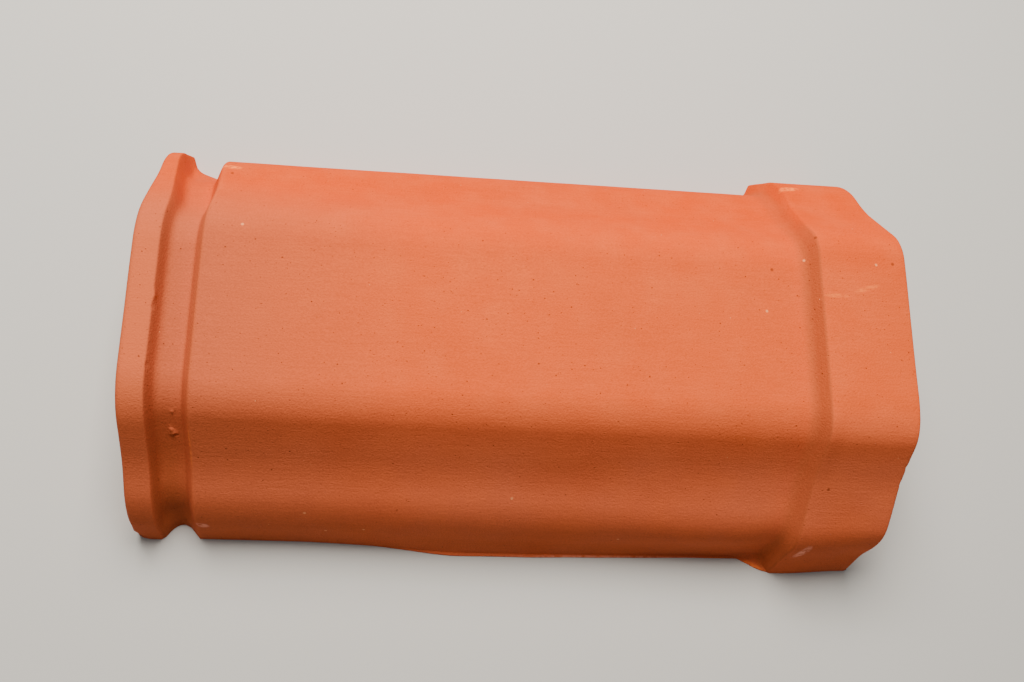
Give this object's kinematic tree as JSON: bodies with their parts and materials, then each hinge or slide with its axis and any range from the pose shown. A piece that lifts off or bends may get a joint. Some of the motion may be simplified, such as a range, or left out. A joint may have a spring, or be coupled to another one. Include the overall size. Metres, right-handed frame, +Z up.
{
  "type": "clay ridge tile",
  "caption": "Angular fired-clay ridge tile with a flat crown and bell-footed sides, a beaded spigot at one end and a stepped collar at the other.",
  "frame": {"origin": "middle of the tile's box, in the plane that both feet stand on", "axes": "+X along the ridge from the spigot to the collar, +Y across it, +Z up from the feet"},
  "size_m": [0.4, 0.2464, 0.0896],
  "materials": {
    "terracotta": "unglazed, matte, fine sandy grain"
  },
  "bodies": {
    "root": {"ridge_tile": "terracotta"}
  },
  "joints": []
}
